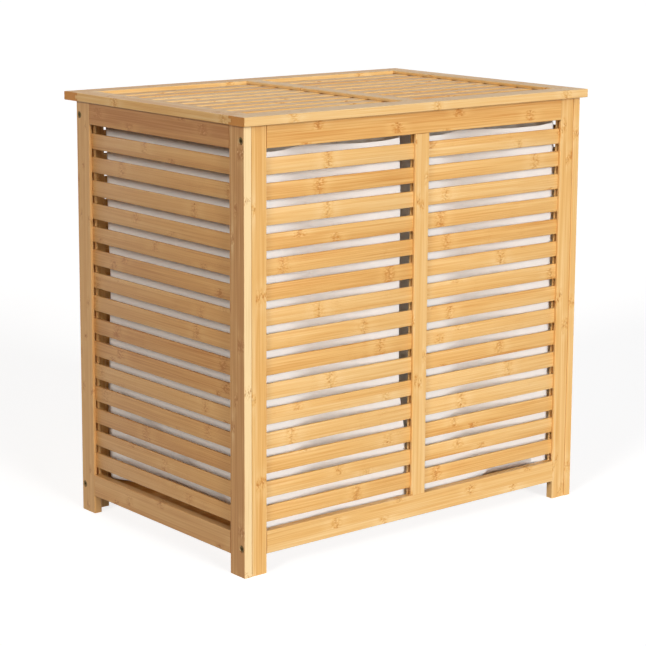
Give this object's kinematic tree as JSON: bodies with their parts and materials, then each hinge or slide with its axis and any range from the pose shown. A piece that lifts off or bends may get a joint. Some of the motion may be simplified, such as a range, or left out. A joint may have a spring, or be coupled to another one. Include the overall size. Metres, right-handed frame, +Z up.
{
  "type": "laundry hamper",
  "caption": "Rectangular slatted wood laundry hamper with a hinged slatted lid and side-by-side cloth bags that hang inside to sort washing.",
  "frame": {"origin": "on the floor under the middle of the lid, which is the centre of the bottom of the bounding box", "axes": "+X to the hamper's right as seen from its front, +Y to its back where the hinges are, +Z up"},
  "size_m": [0.622, 0.424, 0.61],
  "materials": {
    "bamboo_frame": "clear satin lacquer on laminated bamboo",
    "bamboo_slats": "clear satin lacquer on bamboo strip",
    "bottom_board": "thin plain board",
    "bag_cloth": "plain woven white cloth",
    "bronzed_steel": "dark bronzed",
    "zinc_steel": "bright zinc"
  },
  "bodies": {
    "frame": {"left_side_front_stile": "bamboo_frame", "left_side_back_stile": "bamboo_frame", "left_side_top_rail": "bamboo_frame", "left_side_bottom_rail": "bamboo_frame", "left_side_slats": "bamboo_slats", "right_side_front_stile": "bamboo_frame", "right_side_back_stile": "bamboo_frame", "right_side_top_rail": "bamboo_frame", "right_side_bottom_rail": "bamboo_frame", "right_side_slats": "bamboo_slats", "front_left_stile": "bamboo_frame", "front_centre_stile": "bamboo_frame", "front_right_stile": "bamboo_frame", "front_top_rail": "bamboo_frame", "front_bottom_rail": "bamboo_frame", "front_left_slats": "bamboo_slats", "front_right_slats": "bamboo_slats", "back_left_stile": "bamboo_frame", "back_centre_stile": "bamboo_frame", "back_right_stile": "bamboo_frame", "back_top_rail": "bamboo_frame", "back_bottom_rail": "bamboo_frame", "back_left_slats": "bamboo_slats", "back_right_slats": "bamboo_slats", "bottom_panel": "bottom_board", "left_outer_hanging_rod": "zinc_steel", "left_inner_hanging_rod": "zinc_steel", "right_outer_hanging_rod": "zinc_steel", "right_inner_hanging_rod": "zinc_steel", "left_bag": "bag_cloth", "right_bag": "bag_cloth", "left_hinge_body_leaf": "zinc_steel", "left_hinge_pin": "zinc_steel", "left_hinge_body_screw_1": "zinc_steel", "left_hinge_body_screw_2": "zinc_steel", "right_hinge_body_leaf": "zinc_steel", "right_hinge_pin": "zinc_steel", "right_hinge_body_screw_1": "zinc_steel", "right_hinge_body_screw_2": "zinc_steel", "left_side_front_bottom_bolt": "bronzed_steel", "left_side_front_top_bolt": "bronzed_steel", "left_side_back_bottom_bolt": "bronzed_steel", "left_side_back_top_bolt": "bronzed_steel", "right_side_front_bottom_bolt": "bronzed_steel", "right_side_front_top_bolt": "bronzed_steel", "right_side_back_bottom_bolt": "bronzed_steel", "right_side_back_top_bolt": "bronzed_steel"},
    "lid": {"lid_front_rail": "bamboo_frame", "lid_back_rail": "bamboo_frame", "lid_left_rail": "bamboo_frame", "lid_centre_rail": "bamboo_frame", "lid_right_rail": "bamboo_frame", "lid_left_slats": "bamboo_slats", "lid_right_slats": "bamboo_slats", "left_hinge_lid_leaf": "zinc_steel", "left_hinge_lid_screw_1": "zinc_steel", "left_hinge_lid_screw_2": "zinc_steel", "right_hinge_lid_leaf": "zinc_steel", "right_hinge_lid_screw_1": "zinc_steel", "right_hinge_lid_screw_2": "zinc_steel"}
  },
  "joints": [
    {"name": "lid_hinge", "type": "hinge", "parent": "frame", "child": "lid", "pos_m": [0, 0.1924, 0.5946], "axis": [-1, 0, 0], "range_deg": [0, 100]}
  ]
}
